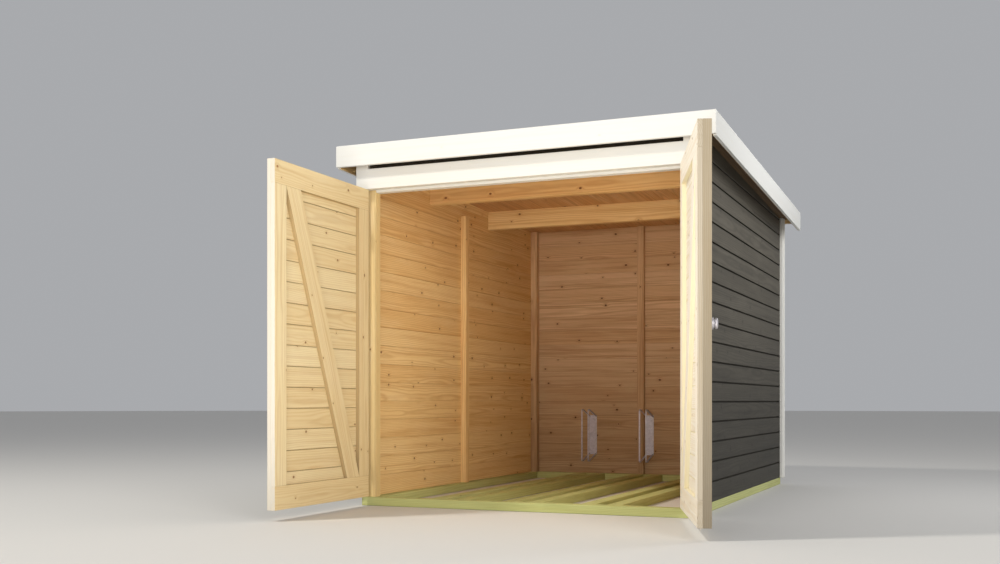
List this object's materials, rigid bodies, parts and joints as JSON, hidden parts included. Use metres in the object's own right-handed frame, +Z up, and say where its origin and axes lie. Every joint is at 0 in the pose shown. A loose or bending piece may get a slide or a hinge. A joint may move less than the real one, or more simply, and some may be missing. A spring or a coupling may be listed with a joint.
{
  "type": "bike shelter",
  "caption": "Low timber bike shelter with an open double door, wheel tracks on an open ground frame, wheel holders on the back wall and a flat roof falling to the back.",
  "frame": {"origin": "on the ground under the middle of the front beam, at the centre of the doorway", "axes": "+X to the right seen from the doorway, +Y into the shelter towards the back wall, +Z up"},
  "size_m": [2.1025, 3.292, 1.815],
  "materials": {
    "treated_timber": "rough sawn, green pressure treatment",
    "dark_boards": "dark stained outside, natural inside",
    "natural_wood": "planed spruce",
    "white_paint": "white paint",
    "roofing_felt": "mineral felt",
    "zinc_steel": "zinc plated"
  },
  "bodies": {
    "shelter": {"front_beam": "treated_timber", "rear_beam": "treated_timber", "left_beam": "treated_timber", "right_beam": "treated_timber", "left_wheel_track": "treated_timber", "middle_wheel_track": "treated_timber", "right_wheel_track": "treated_timber", "left_wall": "dark_boards", "right_wall": "dark_boards", "back_wall": "dark_boards", "front_posts": "natural_wood", "rear_posts": "natural_wood", "side_wall_battens": "natural_wood", "back_wall_batten": "natural_wood", "header_board": "white_paint", "header_timber": "white_paint", "front_corner_boards": "white_paint", "rear_corner_boards": "white_paint", "front_side_trims": "white_paint", "rear_side_trims": "white_paint", "front_purlin": "natural_wood", "rear_purlin": "natural_wood", "roof_deck": "natural_wood", "roof_covering": "roofing_felt", "front_fascia": "white_paint", "rear_fascia": "white_paint", "left_fascia": "white_paint", "right_fascia": "white_paint", "left_hinge_plates": "zinc_steel", "right_hinge_plates": "zinc_steel", "left_wheel_holder": "zinc_steel", "middle_wheel_holder": "zinc_steel", "right_wheel_holder": "zinc_steel"},
    "left_door": {"left_door_boards": "dark_boards", "left_door_stiles": "natural_wood", "left_door_rails": "natural_wood", "left_door_brace": "natural_wood", "left_door_straps": "zinc_steel", "left_door_edge_lath": "natural_wood"},
    "right_door": {"right_door_boards": "dark_boards", "right_door_stiles": "natural_wood", "right_door_rails": "natural_wood", "right_door_brace": "natural_wood", "right_door_straps": "zinc_steel", "right_door_cover_lath": "natural_wood", "door_knob": "zinc_steel"}
  },
  "joints": [
    {"name": "left_door_hinge", "type": "hinge", "parent": "shelter", "child": "left_door", "pos_m": [-0.843, -0.054, 0.8], "axis": [0, 0, 1], "range_deg": [-30, 90]},
    {"name": "right_door_hinge", "type": "hinge", "parent": "shelter", "child": "right_door", "pos_m": [0.843, -0.054, 0.8], "axis": [0, 0, 1], "range_deg": [-108.4, 11.6]}
  ]
}
